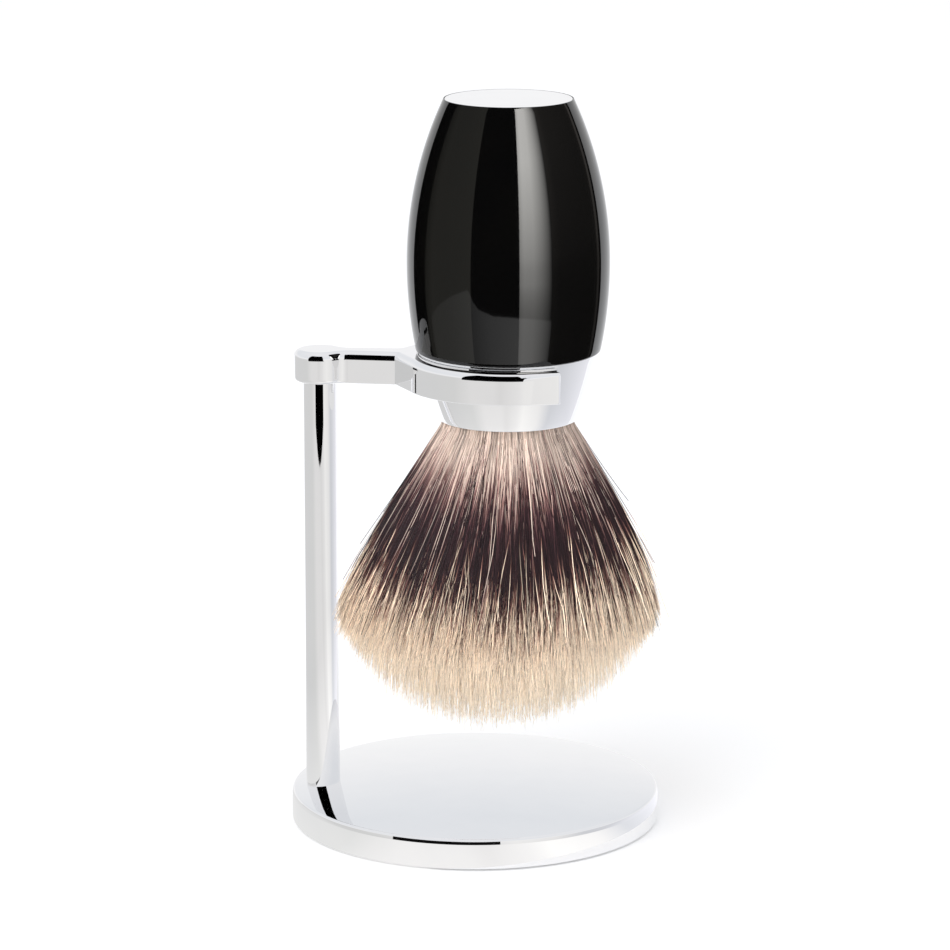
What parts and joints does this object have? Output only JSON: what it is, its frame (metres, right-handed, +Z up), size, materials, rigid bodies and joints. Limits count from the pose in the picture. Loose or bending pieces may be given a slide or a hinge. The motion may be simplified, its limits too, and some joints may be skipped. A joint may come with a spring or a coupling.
{
  "type": "shaving brush",
  "caption": "Shaving brush with a barrel handle, tapered ferrule and fanned knot, hanging head down in the fork of a one-post stand on a round base.",
  "frame": {"origin": "centre of the stand's underside, on the surface that it stands on", "axes": "+Z up along the post; +X from the post across the middle of the base, 6 degrees from the way that the arm reaches; the fork's open end faces away from the post"},
  "size_m": [0.0658, 0.065, 0.1292],
  "materials": {
    "chrome": "polished",
    "black_resin": "gloss",
    "plain_steel": "satin",
    "pad_rubber": "matte",
    "knot_plastic": "matte",
    "fibre": "matte"
  },
  "bodies": {
    "stand": {"base_disc": "chrome", "base_pad": "pad_rubber", "post": "chrome", "post_screw": "plain_steel", "post_washer": "plain_steel"},
    "arm": {"arm_fork": "chrome", "arm_stud": "plain_steel"},
    "brush": {"handle": "black_resin", "end_disc": "chrome", "tie_rod": "plain_steel", "tie_nut": "plain_steel", "tie_washer": "plain_steel", "ferrule": "chrome", "ferrule_seal": "pad_rubber", "knot_cup": "knot_plastic", "knot_resin": "knot_plastic", "knot_binding": "fibre", "fibre_bundle": "fibre"}
  },
  "joints": [
    {"name": "arm_swivel", "type": "hinge", "parent": "stand", "child": "arm", "pos_m": [-0.027, -0.0007, 0.0793], "axis": [0, 0, 1], "range_deg": [-40, 40]},
    {"name": "brush_lift", "type": "slide", "parent": "arm", "child": "brush", "axis": [0, 0, 1], "range_m": [0, 0.01]}
  ]
}
